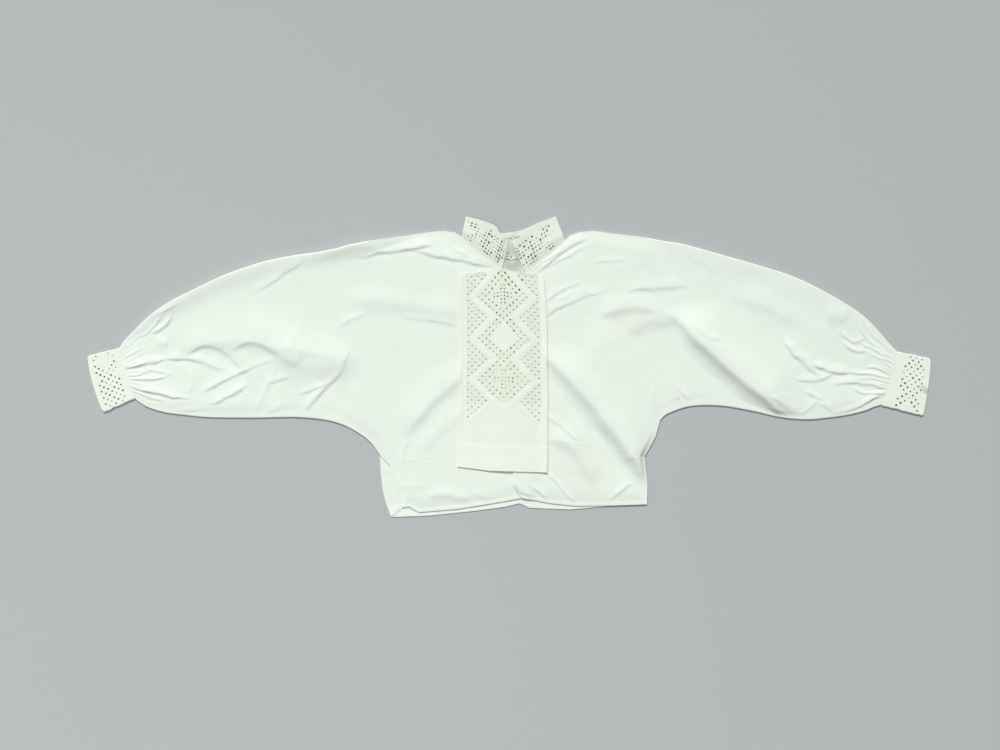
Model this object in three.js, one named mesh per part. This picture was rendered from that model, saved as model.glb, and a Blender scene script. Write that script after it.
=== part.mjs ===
// A bunad shirt, laid out flat on its back with both sleeves out to the sides.
//
// Frame: millimetres, +X to the wearer's left sleeve, +Y up to the collar, +Z up off the table.
// The origin is under the middle of the shirt's box, on the table. "Left" and "right" are as seen
// from above. Every layer of cloth is a wall: the back lies on the table, the fronts lie on the
// back, and the embroidered panel lies on the fronts.
import * as THREE from 'three';

// ---- cloth -------------------------------------------------------------------------------------
const WALL = 1.2; // body and sleeve linen, with its seam turnings
const TRIM_WALL = 1.4; // collar, cuffs and panel, which are sewn double
const SEAM_GAP = 0.3; // between two pieces that are sewn together
const LAYER_GAP = 0.3; // between two layers that lie on each other
const FRONT_REST = WALL + LAYER_GAP; // underside of an upper layer that lies flat
const LOFT = 1.6; // how far the upper layers stand off the lower ones
const LOFT_RISE = 34; // over this distance from the garment's edge
const LAP_LIFT = 1.7; // extra height where the right front lies on the left one
const LAP_EDGE = 24; // X where the left front ends under the right one
const LAP_SLOPE = 26; // width over which the right front comes down again
const PANEL_LIFT = 0.7; // clearance of the panel over the lapped fronts

const COLOURS = { linen: 0xe6ede2, trim: 0xecefe2 };

// ---- tables ------------------------------------------------------------------------------------
/** Turns rows of values into objects with the named columns. */
function table(columns, rows) {
  return rows.map((row) => Object.fromEntries(columns.map((column, i) => [column, row[i]])));
}

const EDGE = ['topX', 'topY', 'bottomX', 'bottomY'];

// The sleeves' folded edges, a row for each section from the armhole to the cuff seam.
const LEFT_SLEEVE = table(EDGE, [
  [-247, 220, -226, -154],
  [-264, 217, -242, -132],
  [-282, 213, -266, -114],
  [-304, 207, -294, -100],
  [-334, 201, -327, -92],
  [-383, 194, -376, -88],
  [-436, 182, -432, -89],
  [-497, 161, -485, -89],
  [-550, 136, -530, -88],
  [-593, 114, -569, -84],
  [-628, 90, -600, -80],
  [-656, 63, -628, -72],
  [-673, 46, -646, -62],
  [-682, 33, -655, -54],
]);
const RIGHT_SLEEVE = table(EDGE, [
  [243, 226, 264, -94],
  [273, 220, 278, -82],
  [308, 214, 317, -69],
  [373, 196, 369, -68],
  [436, 178, 425, -77],
  [495, 159, 474, -88],
  [544, 136, 520, -92],
  [588, 111, 558, -89],
  [621, 88, 593, -84],
  [649, 60, 621, -77],
  [667, 39, 639, -70],
  [679, 27, 652, -66],
]);
const LEFT_CUFF = table(EDGE, [
  [-682, 33, -654.4, -56],
  [-711, 26, -683, -68],
  [-737.5, 19, -710, -81],
]);
const RIGHT_CUFF = table(EDGE, [
  [679, 27, 651.4, -68],
  [709, 21, 689, -77],
  [737.5, 15, 724, -86],
]);
const LEFT_BOW = -10; // sideways bend of each front armhole seam, low down; the back's is straight
const RIGHT_BOW = -16;

// Outlines of the flat pieces.
const SHOULDER_LEFT = [[-247, 220], [-191, 228], [-138, 236], [-112, 238], [-94, 235], [-82, 228]];
const SHOULDER_RIGHT = [[98, 222], [108, 231], [124, 236], [150, 238], [177, 234], [243, 226]];
const NECK_LEFT = [[-82, 228], [-51, 201], [-12, 173]];
const NECK_RIGHT = [[28, 166], [63, 191], [98, 222]];
const NECK_BACK = [[-82, 228], [-38, 198], [4, 186], [49, 194], [98, 222]];
const CENTRE_LEFT = [[-12, 173], [9, 135], [LAP_EDGE, 65], [LAP_EDGE, -136]];
const CENTRE_RIGHT = [[28, 166], [18, 126], [10, 65], [10, -138]];
const WAIST_LEFT = [[-208, -172], [-159, -166], [-100, -153], [LAP_EDGE, -136]];
const WAIST_RIGHT = [[10, -138], [70, -130], [166, -145], [237, -157]];
const WAIST_BACK = [[-226, -158], [0, -150], [237, -157]];
const UNDERARM_LEFT = [[-226, -154], [-208, -172]];
const UNDERARM_RIGHT = [[264, -94], [256, -122], [237, -157]];
const HEM_LEFT = [[-187, -246], [-175, -244], [-158, -254], [-89, -248], [-33, -239], [LAP_EDGE, -229]];
const HEM_RIGHT = [[42, -224], [71, -237], [117, -243], [177, -242], [241, -240]];
const HEM_BACK = [
  [-206, -262.65], [-138, -260], [-60, -252], [-7, -245], [19, -239], [37, -247], [107, -250],
  [177, -244], [242, -241],
];
const SIDE_BAND_LEFT = [[-208, -172], [-206, -184], [-196, -219], [-187, -246]];
const SIDE_BAND_RIGHT = [[237, -157], [242, -206], [241, -240]];
const SIDE_BACK_LEFT = [[-226, -158], [-220, -224], [-206, -262.65]];
const OPENING_LEFT = [[LAP_EDGE, -136], [LAP_EDGE, -180], [LAP_EDGE, -229]];
const OPENING_RIGHT = [[10, -138], [10, -184], [12, -200], [24, -215], [42, -224]];
const PANEL = {
  top: [[-87, 163], [-60, 164], [-24, 170], [-12, 173], [2, 169], [30, 164], [60, 160]],
  bottom: [[-90, -174], [-34, -181], [67, -184]],
  left: [[-87, 163], [-86, 30], [-88, -93], [-90, -174]],
  right: [[60, 160], [66, 86], [68, -58], [67, -184]],
};

// The largest folds. Each is a ridge on a bent line, with its own spread to the left and to the
// right of the line as one walks along it.
const FOLDS = table(
  ['x1', 'y1', 'x2', 'y2', 'x3', 'y3', 'leftSpread', 'rightSpread', 'height'],
  [
    // left sleeve
    [-576, 117, -453, 163, -296, 201, 10, 14, 2.5],
    [-674, 12, -584, 19, -495, 2, 38, 10, 5],
    [-564, 37, -520, 38, -466, 0, 16, 9, 2.5],
    [-530, -37, -488, -9, -410, 10, 14, 9, 2.5],
    [-469, 38, -415, 38, -334, -9, 18, 9, 3],
    [-355, -40, -313, -19, -282, 24, 18, 9, 3.5],
    [-663, -19, -602, -37, -548, -47, 9, 7, 2.5],
    [-660, -35, -628, -49, -600, -61, 9, 7, 2],
    [-632, 70, -607, 96, -584, 110, 7, 7, 2],
    // left half of the body
    [-304, 210, -208, 206, -135, 215, 9, 7, 2.5],
    [-159, 205, -108, 194, -33, 184, 10, 7, 2.5],
    [-275, 96, -191, 110, -89, 88, 24, 16, 2.5],
    [-184, -131, -156, -72, -89, -16, 21, 10, 4.5],
    // right half of the body
    [47, 177, 80, 206, 121, 231, 8, 8, 2.5],
    [70, 94, 116, 121, 163, 136, 14, 5, 2],
    [138, 191, 194, 194, 256, 198, 18, 6, 1.5],
    [166, 100, 206, 107, 245, 107, 16, 9, 2],
    [82, 24, 159, -68, 243, -177, 38, 14, 5],
    [68, -14, 110, -79, 156, -128, 10, 21, 3],
    [89, -86, 121, -128, 163, -210, 18, 9, 2.5],
    [82, -135, 94, -172, 114, -214, 10, 9, 2],
    // right sleeve
    [220, 142, 256, 149, 310, 149, 18, 9, 2.5],
    [303, 107, 355, 37, 467, -65, 46, 16, 6],
    [410, 119, 457, 114, 504, 91, 21, 10, 2.5],
    [488, 60, 513, 30, 551, -4, 18, 9, 3],
    [536, 5, 590, -4, 667, -7, 21, 9, 4],
    [530, -61, 579, -65, 656, -38, 18, 9, 3],
    [590, -19, 625, -26, 665, -32, 9, 7, 2],
    [584, 77, 602, 58, 621, 51, 7, 7, 2],
  ],
);
const FOLD_ENDS = 0.22; // share of a fold's length over which each end fades

// Gathers where a sleeve is drawn into its cuff.
const GATHERS = 13;
const GATHER_HEIGHT = 1.7;
const GATHER_REACH = 62; // how far up the sleeve they run
const CUFF_DRAW = 30; // the sleeve comes down to the cuff over this distance

// The collar as it lies: a band whose front halves are folded in over its back half.
const COLLAR_LEFT = table(
  ['seamX', 'seamY', 'freeX', 'freeY'],
  [
    [-14, 176.5, 3, 219],
    [-32, 187.5, -10, 233],
    [-49, 200.5, -22, 246],
    [-66, 214.5, -47, 255],
    [-80.5, 227.5, -73, 262.5],
  ],
);
const COLLAR_BACK = table(
  ['seamX', 'seamY', 'freeX', 'freeY'],
  [
    [-80.5, 229, -73, 262.5],
    [-60, 215, -46, 247],
    [-38, 201, -18, 235],
    [4, 189, 4, 236],
    [49, 196.5, 26, 241],
    [75, 210, 51, 252],
    [97, 223, 80, 262.5],
  ],
);
const COLLAR_RIGHT = table(
  ['seamX', 'seamY', 'freeX', 'freeY'],
  [
    [97, 223.5, 80, 262.5],
    [80, 208.5, 61, 255],
    [63, 193.5, 44, 245],
    [45, 180, 26, 233],
    [29.5, 168.5, 10, 217],
  ],
);
const COLLAR_TURN_STEPS = 4; // facets round each side fold of the collar

// ---- geometry helpers --------------------------------------------------------------------------
const mix = (a, b, t) => a + (b - a) * t;
const smooth = (t) => {
  const c = Math.min(1, Math.max(0, t));
  return c * c * (3 - 2 * c);
};

/** The point at a share of a polyline's length. */
function along(line, share) {
  const lengths = line.slice(1).map(([x, y], i) => Math.hypot(x - line[i][0], y - line[i][1]));
  let left = share * lengths.reduce((sum, length) => sum + length, 0);
  for (let i = 0; i < lengths.length; i += 1) {
    if (left <= lengths[i] || i === lengths.length - 1) {
      const t = Math.min(1, left / lengths[i]);
      return [mix(line[i][0], line[i + 1][0], t), mix(line[i][1], line[i + 1][1], t)];
    }
    left -= lengths[i];
  }
  return line[line.length - 1];
}

/** A point of the patch between four edges, all running left to right or top to bottom. */
function patchPoint(edges, u, v) {
  const top = along(edges.top, u);
  const bottom = along(edges.bottom, u);
  const left = along(edges.left, v);
  const right = along(edges.right, v);
  const corners = [edges.top[0], edges.top.at(-1), edges.bottom[0], edges.bottom.at(-1)];
  return [0, 1].map((axis) => {
    const [tl, tr, bl, br] = corners.map((corner) => corner[axis]);
    const across = mix(left[axis], right[axis], u);
    const down = mix(top[axis], bottom[axis], v);
    return across + down - mix(mix(tl, tr, u), mix(bl, br, u), v);
  });
}

/** A geometry from points and the quads between them. */
function meshFromQuads(points, quads) {
  const geometry = new THREE.BufferGeometry();
  geometry.setAttribute('position', new THREE.Float32BufferAttribute(points.flat(), 3));
  const index = quads.flatMap(([a, b, c, d]) => [a, b, c, a, c, d]);
  geometry.setIndex(index);
  geometry.computeVertexNormals();
  return geometry;
}

/** A sheet of cloth: a wall between an under and an over surface on one grid of (x, y). */
function sheet(columns, rows, place) {
  const points = [];
  const over = (i, j) => (j * (columns + 1) + i) * 2;
  const under = (i, j) => over(i, j) + 1;
  for (let j = 0; j <= rows; j += 1) {
    for (let i = 0; i <= columns; i += 1) {
      const { x, y, top, bottom } = place(i / columns, j / rows);
      points.push([x, y, top], [x, y, bottom]);
    }
  }
  const quads = [];
  for (let j = 0; j < rows; j += 1) {
    for (let i = 0; i < columns; i += 1) {
      quads.push([over(i, j), over(i, j + 1), over(i + 1, j + 1), over(i + 1, j)]);
      quads.push([under(i, j), under(i + 1, j), under(i + 1, j + 1), under(i, j + 1)]);
    }
  }
  for (let i = 0; i < columns; i += 1) {
    quads.push([over(i, 0), over(i + 1, 0), under(i + 1, 0), under(i, 0)]);
    quads.push([over(i, rows), under(i, rows), under(i + 1, rows), over(i + 1, rows)]);
  }
  for (let j = 0; j < rows; j += 1) {
    quads.push([over(0, j), under(0, j), under(0, j + 1), over(0, j + 1)]);
    quads.push([over(columns, j), over(columns, j + 1), under(columns, j + 1), under(columns, j)]);
  }
  return meshFromQuads(points, quads);
}

/** A skin swept through loops of equal length. */
function sweep(loops) {
  const count = loops[0].length;
  const points = loops.flat();
  const quads = [];
  for (let s = 0; s + 1 < loops.length; s += 1) {
    for (let k = 0; k < count; k += 1) {
      const next = (k + 1) % count;
      quads.push([s * count + k, s * count + next, (s + 1) * count + next, (s + 1) * count + k]);
    }
  }
  return { points, quads, count, last: (loops.length - 1) * count };
}

/** An open tube: an outer and an inner skin through the same sections, joined round both mouths. */
function tube(outerLoops, innerLoops) {
  const outer = sweep(outerLoops);
  const inner = sweep(innerLoops);
  const shift = outer.points.length;
  const quads = [...outer.quads];
  inner.quads.forEach(([a, b, c, d]) => quads.push([d + shift, c + shift, b + shift, a + shift]));
  for (let k = 0; k < outer.count; k += 1) {
    const next = (k + 1) % outer.count;
    quads.push([next, k, shift + k, shift + next]);
    quads.push([outer.last + k, outer.last + next, shift + outer.last + next, shift + outer.last + k]);
  }
  return meshFromQuads([...outer.points, ...inner.points], quads);
}

/** A solid bar through loops, each of which runs along one face and back along the other. */
function bar(loops) {
  const skin = sweep(loops);
  const half = skin.count / 2;
  const quads = [...skin.quads];
  for (let k = 0; k + 1 < half; k += 1) {
    const mirror = skin.count - 1 - k;
    quads.push([k + 1, k, mirror, mirror - 1]);
    quads.push([skin.last + k, skin.last + k + 1, skin.last + mirror - 1, skin.last + mirror]);
  }
  return meshFromQuads(skin.points, quads);
}

// ---- relief of the upper layers ----------------------------------------------------------------
const edgesOf = (rows, side) => rows.map((row) => [row[`${side}X`], row[`${side}Y`]]);

// The garment's outline without collar and cuffs, where the upper layers come down to the lower.
const OUTLINE = [
  ...edgesOf(LEFT_SLEEVE, 'top').reverse(),
  ...SHOULDER_LEFT,
  ...NECK_LEFT,
  ...NECK_RIGHT,
  ...SHOULDER_RIGHT,
  ...edgesOf(RIGHT_SLEEVE, 'top'),
];
const LOWER_OUTLINE = [
  ...edgesOf(LEFT_SLEEVE, 'bottom').reverse(),
  ...SIDE_BAND_LEFT,
  ...HEM_LEFT.slice(0, -1),
  ...HEM_RIGHT,
  ...[...SIDE_BAND_RIGHT].reverse(),
  ...[...UNDERARM_RIGHT].reverse(),
  ...edgesOf(RIGHT_SLEEVE, 'bottom'),
];

/** Distance from (x, y) to the leg between two points, and which side of it the point is on. */
function legDistance(x, y, [ax, ay], [bx, by]) {
  const dx = bx - ax;
  const dy = by - ay;
  const length = Math.hypot(dx, dy) || 1;
  const reach = ((x - ax) * dx + (y - ay) * dy) / length;
  const held = Math.min(length, Math.max(0, reach));
  const side = (dx * (y - ay) - dy * (x - ax)) / length;
  const distance = Math.hypot(x - ax - (dx / length) * held, y - ay - (dy / length) * held);
  return { distance, side, reach: held, length };
}

function edgeDistance(x, y) {
  let nearest = Infinity;
  [OUTLINE, LOWER_OUTLINE].forEach((line) => {
    for (let i = 0; i + 1 < line.length; i += 1) {
      nearest = Math.min(nearest, legDistance(x, y, line[i], line[i + 1]).distance);
    }
  });
  return nearest;
}

/** Height that one fold adds at (x, y). */
function foldHeight(fold, x, y) {
  const first = legDistance(x, y, [fold.x1, fold.y1], [fold.x2, fold.y2]);
  const second = legDistance(x, y, [fold.x2, fold.y2], [fold.x3, fold.y3]);
  const onFirst = first.distance < second.distance;
  const near = onFirst ? first : second;
  const walked = onFirst ? near.reach : first.length + near.reach;
  const share = walked / (first.length + second.length);
  const spread = near.side > 0 ? fold.leftSpread : fold.rightSpread;
  const fade = smooth((share + 0.04) / FOLD_ENDS) * smooth((1.04 - share) / FOLD_ENDS);
  return fold.height * fade * Math.exp(-((near.distance / spread) ** 2));
}

/** How far the upper layer stands above its flat rest at (x, y). */
function relief(x, y) {
  const rise = smooth(edgeDistance(x, y) / LOFT_RISE);
  const folds = FOLDS.reduce((sum, fold) => sum + foldHeight(fold, x, y), 0);
  return rise * (LOFT + folds);
}

/** The wall at a relief: ridges are a little thicker, so that little air is left below them. */
const wallAt = (height) => WALL + Math.min(1.1, 0.22 * height);

// ---- pieces ------------------------------------------------------------------------------------
/** Shrinks a patch by half a seam gap, so that neighbouring pieces stand apart. */
function inset(point, centre) {
  const dx = centre[0] - point[0];
  const dy = centre[1] - point[1];
  return [point[0] + Math.sign(dx) * (SEAM_GAP / 2), point[1] + Math.sign(dy) * (SEAM_GAP / 2)];
}

function patchSheet(columns, rows, edges, heights) {
  const centre = patchPoint(edges, 0.5, 0.5);
  return sheet(columns, rows, (u, v) => {
    const rim = u === 0 || u === 1 || v === 0 || v === 1;
    const point = patchPoint(edges, u, v);
    const [x, y] = rim ? inset(point, centre) : point;
    return { x, y, ...heights(x, y) };
  });
}

const flatOnTable = () => ({ bottom: 0, top: WALL });

function upperLayer(lift) {
  return (x, y) => {
    const height = relief(x, y);
    const top = FRONT_REST + WALL + height + lift(x);
    return { top, bottom: top - wallAt(height) };
  };
}

const noLift = () => 0;
const lapLift = (x) => LAP_LIFT * smooth((LAP_EDGE + 4 + LAP_SLOPE - x) / LAP_SLOPE);
const panelLift = (x) => lapLift(x) * smooth((x + 60) / 60);

/** The height field of the panel: the lapped fronts' top, moved out. */
function panelHeights(x, y) {
  const inside = relief(x, y);
  const bottom = FRONT_REST + WALL + inside + panelLift(x) + PANEL_LIFT;
  return { bottom, top: bottom + TRIM_WALL };
}

/** A bent armhole seam, from its top to its bottom. */
function armhole(section, bow) {
  const steps = 33;
  return Array.from({ length: steps + 1 }, (_, i) => {
    const v = i / steps;
    const bend = bow * 6.75 * v * v * (1 - v);
    return [mix(section.topX, section.bottomX, v) + bend, mix(section.topY, section.bottomY, v)];
  });
}

const ARMHOLE_LEFT = armhole(LEFT_SLEEVE[0], LEFT_BOW);
const ARMHOLE_RIGHT = armhole(RIGHT_SLEEVE[0], RIGHT_BOW);

const BODY_PIECES = {
  back: {
    columns: 20,
    rows: 8,
    edges: {
      top: [...SHOULDER_LEFT, ...NECK_BACK.slice(1, -1), ...SHOULDER_RIGHT],
      bottom: WAIST_BACK,
      left: [SHOULDER_LEFT[0], UNDERARM_LEFT[0], WAIST_BACK[0]],
      right: [SHOULDER_RIGHT.at(-1), ...UNDERARM_RIGHT],
    },
    heights: flatOnTable,
  },
  back_band: {
    columns: 20,
    rows: 2,
    edges: { top: WAIST_BACK, bottom: HEM_BACK, left: SIDE_BACK_LEFT, right: SIDE_BAND_RIGHT },
    heights: flatOnTable,
  },
  front_left: {
    columns: 18,
    rows: 22,
    edges: {
      top: [...SHOULDER_LEFT, ...NECK_LEFT.slice(1)],
      bottom: WAIST_LEFT,
      left: [...ARMHOLE_LEFT, ...UNDERARM_LEFT.slice(1)],
      right: CENTRE_LEFT,
    },
    heights: upperLayer(noLift),
  },
  front_right: {
    columns: 18,
    rows: 22,
    edges: {
      top: [...NECK_RIGHT, ...SHOULDER_RIGHT.slice(1)],
      bottom: WAIST_RIGHT,
      left: CENTRE_RIGHT,
      right: [...ARMHOLE_RIGHT, ...UNDERARM_RIGHT.slice(1)],
    },
    heights: upperLayer(lapLift),
  },
  front_band_left: {
    columns: 18,
    rows: 5,
    edges: { top: WAIST_LEFT, bottom: HEM_LEFT, left: SIDE_BAND_LEFT, right: OPENING_LEFT },
    heights: upperLayer(noLift),
  },
  front_band_right: {
    columns: 18,
    rows: 6,
    edges: { top: WAIST_RIGHT, bottom: HEM_RIGHT, left: OPENING_RIGHT, right: SIDE_BAND_RIGHT },
    heights: upperLayer(lapLift),
  },
};

/** The point across a section: 0 on its top fold and 1 on its bottom fold. */
function acrossSection(section, v, bow) {
  const bend = bow * 6.75 * v * v * (1 - v);
  return [mix(section.topX, section.bottomX, v) + bend, mix(section.topY, section.bottomY, v)];
}

/** The outer and inner loop of a flattened tube at one section. */
function flatRing(section, bow, wall, upperSteps, lowerSteps, topAt) {
  const length = Math.hypot(section.topX - section.bottomX, section.topY - section.bottomY);
  const nose = wall / length;
  const point = (v, z, bend = 0) => [...acrossSection(section, v, bend), z];
  const outer = [];
  const inner = [];
  for (let i = 0; i <= upperSteps; i += 1) {
    const v = i / upperSteps;
    const { top, wall: thick } = topAt(v);
    outer.push(point(mix(nose, 1 - nose, v), top, bow));
    inner.push(point(mix(2 * nose, 1 - 2 * nose, v), top - thick, bow));
  }
  const edgeTop = topAt(1).top;
  outer.push(point(1, edgeTop / 2));
  inner.push(point(1 - nose, edgeTop / 2));
  for (let i = 0; i <= lowerSteps; i += 1) {
    const v = 1 - i / lowerSteps;
    outer.push(point(mix(nose, 1 - nose, v), 0));
    inner.push(point(mix(2 * nose, 1 - 2 * nose, v), wall));
  }
  const otherTop = topAt(0).top;
  outer.push(point(0, otherTop / 2));
  inner.push(point(nose, otherTop / 2));
  return { outer, inner };
}

/** Sections at even steps along a table of sections, on a smooth curve through its rows. */
function sectionsOf(rows, steps) {
  const topCurve = new THREE.CatmullRomCurve3(rows.map((r) => new THREE.Vector3(r.topX, r.topY, 0)));
  const bottomCurve = new THREE.CatmullRomCurve3(
    rows.map((r) => new THREE.Vector3(r.bottomX, r.bottomY, 0)),
  );
  return Array.from({ length: steps + 1 }, (_, i) => {
    const top = topCurve.getPoint(i / steps);
    const bottom = bottomCurve.getPoint(i / steps);
    return { topX: top.x, topY: top.y, bottomX: bottom.x, bottomY: bottom.y };
  });
}

/** Moves the first and last section in by half a seam gap. */
function shiftEnds(sections, direction) {
  const half = (SEAM_GAP / 2) * direction;
  const moved = (s, dx) => ({ ...s, topX: s.topX + dx, bottomX: s.bottomX + dx });
  return sections.map((s, i) => {
    if (i === 0) return moved(s, half);
    return i === sections.length - 1 ? moved(s, -half) : s;
  });
}

const SLEEVE_STEPS = 19;
const SLEEVE_UPPER = 39; // three steps to a gather
const SLEEVE_LOWER = 6;

/** A sleeve: a flattened tube from the armhole to its cuff. direction is -1 to the left. */
function sleeve(rows, bow, direction) {
  const sections = shiftEnds(sectionsOf(rows, SLEEVE_STEPS), direction);
  const end = sections.at(-1);
  const rings = sections.map((section, i) => {
    const bend = i === 0 ? bow : 0;
    const left = Math.abs(end.topX + end.bottomX - section.topX - section.bottomX) / 2;
    return flatRing(section, bend, WALL, SLEEVE_UPPER, SLEEVE_LOWER, (v) => {
      const [x, y] = acrossSection(section, v, bend);
      const draw = mix(0.3, 1, smooth(left / CUFF_DRAW));
      const swell = mix(0.45, 1, smooth(left / 22)) * (1 - smooth(left / GATHER_REACH));
      const wave = 0.5 - 0.5 * Math.cos(2 * Math.PI * GATHERS * v);
      const height = relief(x, y) * draw + GATHER_HEIGHT * swell * wave;
      return { top: FRONT_REST + WALL + height, wall: wallAt(height) };
    });
  });
  return orientedTube(rings, direction);
}

function orientedTube(rings, direction) {
  const ordered = direction > 0 ? rings : [...rings].reverse();
  return tube(ordered.map((ring) => ring.outer), ordered.map((ring) => ring.inner));
}

/** A cuff: a short flat tube, open at the sleeve and at the hand. */
function cuff(rows, direction) {
  const sections = shiftEnds(sectionsOf(rows, 4), direction);
  const top = TRIM_WALL * 2 + LAYER_GAP;
  const rings = sections.map((section) =>
    flatRing(section, 0, TRIM_WALL, 8, 4, () => ({ top, wall: TRIM_WALL })));
  return orientedTube(rings, direction);
}

/** The collar: one band through its left wing, back and right wing, turned over at both sides. */
function collar() {
  const upper = TRIM_WALL * 1.5 + LAYER_GAP;
  const lower = TRIM_WALL / 2;
  const turnRadius = (upper - lower) / 2;
  const stations = [];
  COLLAR_LEFT.forEach((row) => stations.push({ row, height: upper, normal: [0, 1] }));
  const turn = (row, out) => {
    for (let i = 1; i < COLLAR_TURN_STEPS; i += 1) {
      const angle = (Math.PI * i) / COLLAR_TURN_STEPS;
      const turned = out < 0 ? Math.PI / 2 + angle : -Math.PI / 2 + angle;
      const normal = [Math.cos(turned), Math.sin(turned)];
      const side = turnRadius * normal[0];
      stations.push({ row, side, height: upper - turnRadius + turnRadius * normal[1], normal });
    }
  };
  turn(COLLAR_LEFT.at(-1), -1);
  COLLAR_BACK.forEach((row) => stations.push({ row, height: lower, normal: [0, -1] }));
  turn(COLLAR_RIGHT[0], 1);
  COLLAR_RIGHT.forEach((row) => stations.push({ row, height: upper, normal: [0, 1] }));
  const loops = stations.map(({ row, side = 0, height, normal }) => {
    const at = (share, out) => [
      mix(row.seamX, row.freeX, share) + side + normal[0] * out,
      mix(row.seamY, row.freeY, share),
      height + normal[1] * out,
    ];
    const half = TRIM_WALL / 2;
    const shares = [0, 0.5, 1];
    return [...shares.map((s) => at(s, half)), ...shares.map((s) => at(1 - s, -half))];
  });
  return bar(loops);
}

// ---- assembly ----------------------------------------------------------------------------------
const shirt = new THREE.Group();

function addPiece(name, geometry, colour) {
  const material = new THREE.MeshStandardMaterial({ color: colour, roughness: 0.9, metalness: 0 });
  const mesh = new THREE.Mesh(geometry, material);
  mesh.name = name;
  shirt.add(mesh);
}

Object.entries(BODY_PIECES).forEach(([name, { columns, rows, edges, heights }]) => {
  addPiece(name, patchSheet(columns, rows, edges, heights), COLOURS.linen);
});
addPiece('sleeve_left', sleeve(LEFT_SLEEVE, LEFT_BOW, -1), COLOURS.linen);
addPiece('sleeve_right', sleeve(RIGHT_SLEEVE, RIGHT_BOW, 1), COLOURS.linen);
addPiece('cuff_left', cuff(LEFT_CUFF, -1), COLOURS.trim);
addPiece('cuff_right', cuff(RIGHT_CUFF, 1), COLOURS.trim);
addPiece('collar', collar(), COLOURS.trim);
addPiece('front_panel', patchSheet(10, 22, PANEL, panelHeights), COLOURS.trim);

export default shirt;
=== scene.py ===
"""A bunad shirt laid out flat: the looks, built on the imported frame.

All tables are in millimetres, in the frame's own axes: +X along the sleeves, +Y up to the collar,
+Z up off the floor. "Left" and "right" are as seen from above. MM turns them into Blender metres.
"""
import math

import bpy
import numpy as np
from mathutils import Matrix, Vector


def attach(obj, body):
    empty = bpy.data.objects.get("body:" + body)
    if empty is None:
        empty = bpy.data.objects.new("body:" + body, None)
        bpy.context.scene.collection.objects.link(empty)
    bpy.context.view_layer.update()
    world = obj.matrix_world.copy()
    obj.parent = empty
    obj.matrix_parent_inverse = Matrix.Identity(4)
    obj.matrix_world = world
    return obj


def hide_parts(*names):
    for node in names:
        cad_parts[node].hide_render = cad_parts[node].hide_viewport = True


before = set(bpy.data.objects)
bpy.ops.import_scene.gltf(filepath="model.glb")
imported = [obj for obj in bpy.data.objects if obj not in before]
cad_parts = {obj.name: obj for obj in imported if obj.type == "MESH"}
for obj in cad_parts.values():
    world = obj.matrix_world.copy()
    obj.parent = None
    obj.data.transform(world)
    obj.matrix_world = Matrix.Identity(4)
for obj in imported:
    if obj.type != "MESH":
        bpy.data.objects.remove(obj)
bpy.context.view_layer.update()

MM = 0.001

# ---- sizes, as in the solids ----
WALL = 1.2
FRONT_REST = 1.5  # underside of an upper layer that lies flat
LOFT = 1.6  # how far the upper layers stand off the lower ones
LOFT_RISE = 26  # from an edge up to the full loft
FOLD_RISE = 11  # from an edge up to the full height of the folds
NECK_FOLD_RISE = 16  # the same, at the neck
NECK_LOFT = 8  # head start of the loft and of the folds at the neck's edge
NECK_FOLD = 5
SHOULDER_LOW = 1.0  # down to which the fronts turn at the shoulders, onto the back
LAP_LIFT = 1.7  # extra height where the right front lies on the left one
LAP_EDGE = 24  # X where the left front ends under the right one
LAP_SLOPE = 26  # width over which the right front comes down again
PANEL_GAP = 0.42  # between the panel and the fronts
FOLD_ENDS = 0.3  # share of a fold over which it fades at either end
HOLLOW = 0.35  # how far the cloth dips beyond a fold, as a share of its height
HOLLOW_WIDTH = 3.2
CREASE_WAVE = 0.4  # unevenness of a narrow crease along its length
BROAD = 18  # swell from which a fold is a broad one
NECK_RISE = 60  # from the neck up to the full loft
CLOTH = 0.7  # the cloth's own thickness with its nap, thinner than the solid's wall
SEAM = 0.02  # half the gap between two sewn pieces
PANEL_CLOTH = 1.0
CUFF_CLOTH = 0.9
CUFF_TOP = 3.1
CUFF_NOSE = 1.6  # how far a cuff's folded edge is rounded
COLLAR_WIDTH = 46
COLLAR_WALL = 1.1
COLLAR_GAP = 0.004  # of its width, left free at the neck seam
WING_LOW = 2.15  # middle of a wing's wall at its seam, level with the fronts
WING_HIGH = 4.3

SLEEVE_LEFT = np.array([  # topX, topY, bottomX, bottomY from the armhole to the cuff seam
    (-247, 220, -226, -154), (-264, 217, -242, -132), (-282, 213, -266, -114),
    (-304, 207, -294, -100), (-334, 201, -327, -92), (-383, 194, -376, -88),
    (-436, 182, -432, -89), (-497, 161, -485, -89), (-550, 136, -530, -88),
    (-593, 114, -569, -84), (-628, 90, -600, -80), (-656, 63, -628, -72),
    (-673, 46, -646, -62), (-682, 33, -655, -54),
], float)
SLEEVE_RIGHT = np.array([
    (243, 226, 264, -94), (273, 220, 278, -82), (308, 214, 317, -69), (373, 196, 369, -68),
    (436, 178, 425, -77), (495, 159, 474, -88), (544, 136, 520, -92), (588, 111, 558, -89),
    (621, 88, 593, -84), (649, 60, 621, -77), (667, 39, 639, -70), (679, 27, 652, -66),
], float)
CUFF_LEFT = np.array([
    (-682, 33, -654.4, -56), (-711, 26, -683, -68), (-737.5, 19, -710, -81),
], float)
CUFF_RIGHT = np.array([
    (679, 27, 651.4, -68), (709, 21, 689, -77), (737.5, 15, 724, -86),
], float)
BOW_LEFT = -10  # sideways bend of each front armhole seam, low down
BOW_RIGHT = -16
ARMHOLE_STEPS = 33
BOW_PEAK = 6.75  # makes the bend's curve v * v * (1 - v) reach 1

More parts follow.
